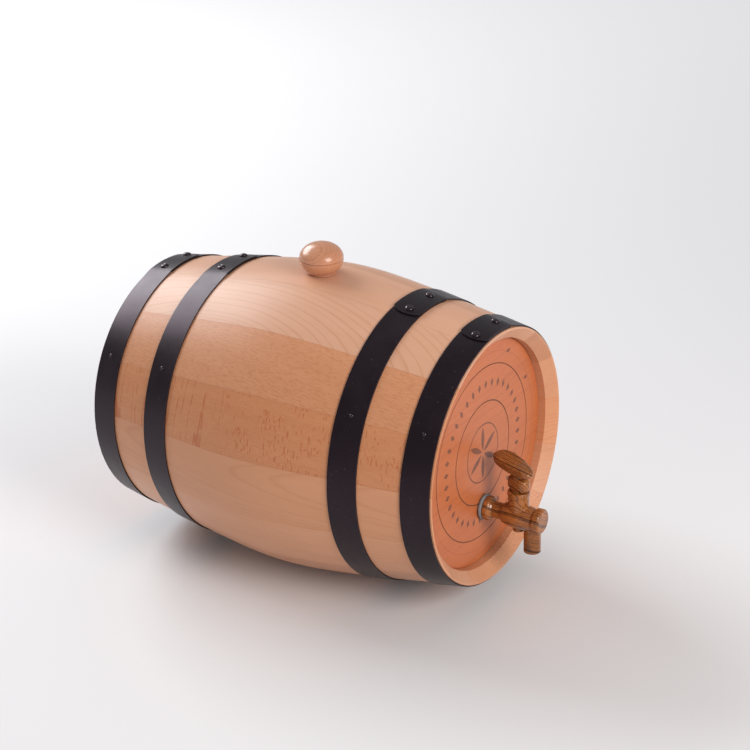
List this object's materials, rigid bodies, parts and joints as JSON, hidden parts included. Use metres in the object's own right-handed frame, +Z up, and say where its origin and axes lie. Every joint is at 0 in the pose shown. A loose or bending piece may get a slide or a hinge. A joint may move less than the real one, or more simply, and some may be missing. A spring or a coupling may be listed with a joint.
{
  "type": "wooden cask with tap",
  "caption": "Small wooden cask lying on its side, with riveted iron hoops, a knobbed bung that pulls out and a wooden tap with a turning key.",
  "frame": {"origin": "bottom centre of the whole object's box, on the surface that the cask's belly rests on", "axes": "+Z up through the bung, +Y along the cask from the tapped head to the plain head, +X across the cask"},
  "size_m": [0.2112, 0.3038, 0.2323],
  "materials": {
    "stave_wood": "satin varnish on fine-grained pale wood",
    "head_wood": "satin varnish on orange-brown boards",
    "dowel_wood": "bare",
    "hoop_iron": "satin black",
    "rivet_steel": "satin black, bright where rubbed",
    "bung_wood": "gloss varnish",
    "tap_wood": "gloss dark varnish",
    "washer_rubber": "matt grey"
  },
  "bodies": {
    "cask": {"bung_stave": "stave_wood", "front_chime_hoop": "hoop_iron", "front_chime_nail_1": "rivet_steel", "front_chime_nail_2": "rivet_steel", "front_chime_rivet_1": "rivet_steel", "front_chime_rivet_2": "rivet_steel", "front_head_dowel_1": "dowel_wood", "front_head_dowel_2": "dowel_wood", "front_head_dowel_3": "dowel_wood", "front_head_dowel_4": "dowel_wood", "front_head_lower_board": "head_wood", "front_head_middle_board": "head_wood", "front_head_upper_board": "head_wood", "front_quarter_hoop": "hoop_iron", "front_quarter_nail_1": "rivet_steel", "front_quarter_nail_2": "rivet_steel", "front_quarter_rivet_1": "rivet_steel", "front_quarter_rivet_2": "rivet_steel", "rear_chime_hoop": "hoop_iron", "rear_chime_nail_1": "rivet_steel", "rear_chime_nail_2": "rivet_steel", "rear_chime_rivet_1": "rivet_steel", "rear_chime_rivet_2": "rivet_steel", "rear_head_dowel_1": "dowel_wood", "rear_head_dowel_2": "dowel_wood", "rear_head_dowel_3": "dowel_wood", "rear_head_dowel_4": "dowel_wood", "rear_head_lower_board": "head_wood", "rear_head_middle_board": "head_wood", "rear_head_upper_board": "head_wood", "rear_quarter_hoop": "hoop_iron", "rear_quarter_nail_1": "rivet_steel", "rear_quarter_nail_2": "rivet_steel", "rear_quarter_rivet_1": "rivet_steel", "rear_quarter_rivet_2": "rivet_steel", "stave_02": "stave_wood", "stave_03": "stave_wood", "stave_04": "stave_wood", "stave_05": "stave_wood", "stave_06": "stave_wood", "stave_07": "stave_wood", "stave_08": "stave_wood", "stave_09": "stave_wood", "stave_10": "stave_wood", "stave_11": "stave_wood", "stave_12": "stave_wood", "stave_13": "stave_wood", "stave_14": "stave_wood", "stave_15": "stave_wood", "tap_body": "tap_wood", "tap_washer": "washer_rubber"},
    "bung": {"bung": "bung_wood"},
    "tap_key": {"tap_key": "tap_wood"}
  },
  "joints": [
    {"name": "bung_pull", "type": "slide", "parent": "cask", "child": "bung", "axis": [0, 0, 1], "range_m": [0, 0.04]},
    {"name": "tap_key_turn", "type": "hinge", "parent": "cask", "child": "tap_key", "pos_m": [0, -0.1335, 0.0656], "axis": [0, 0, 1], "range_deg": [-72.4, 17.6]}
  ]
}
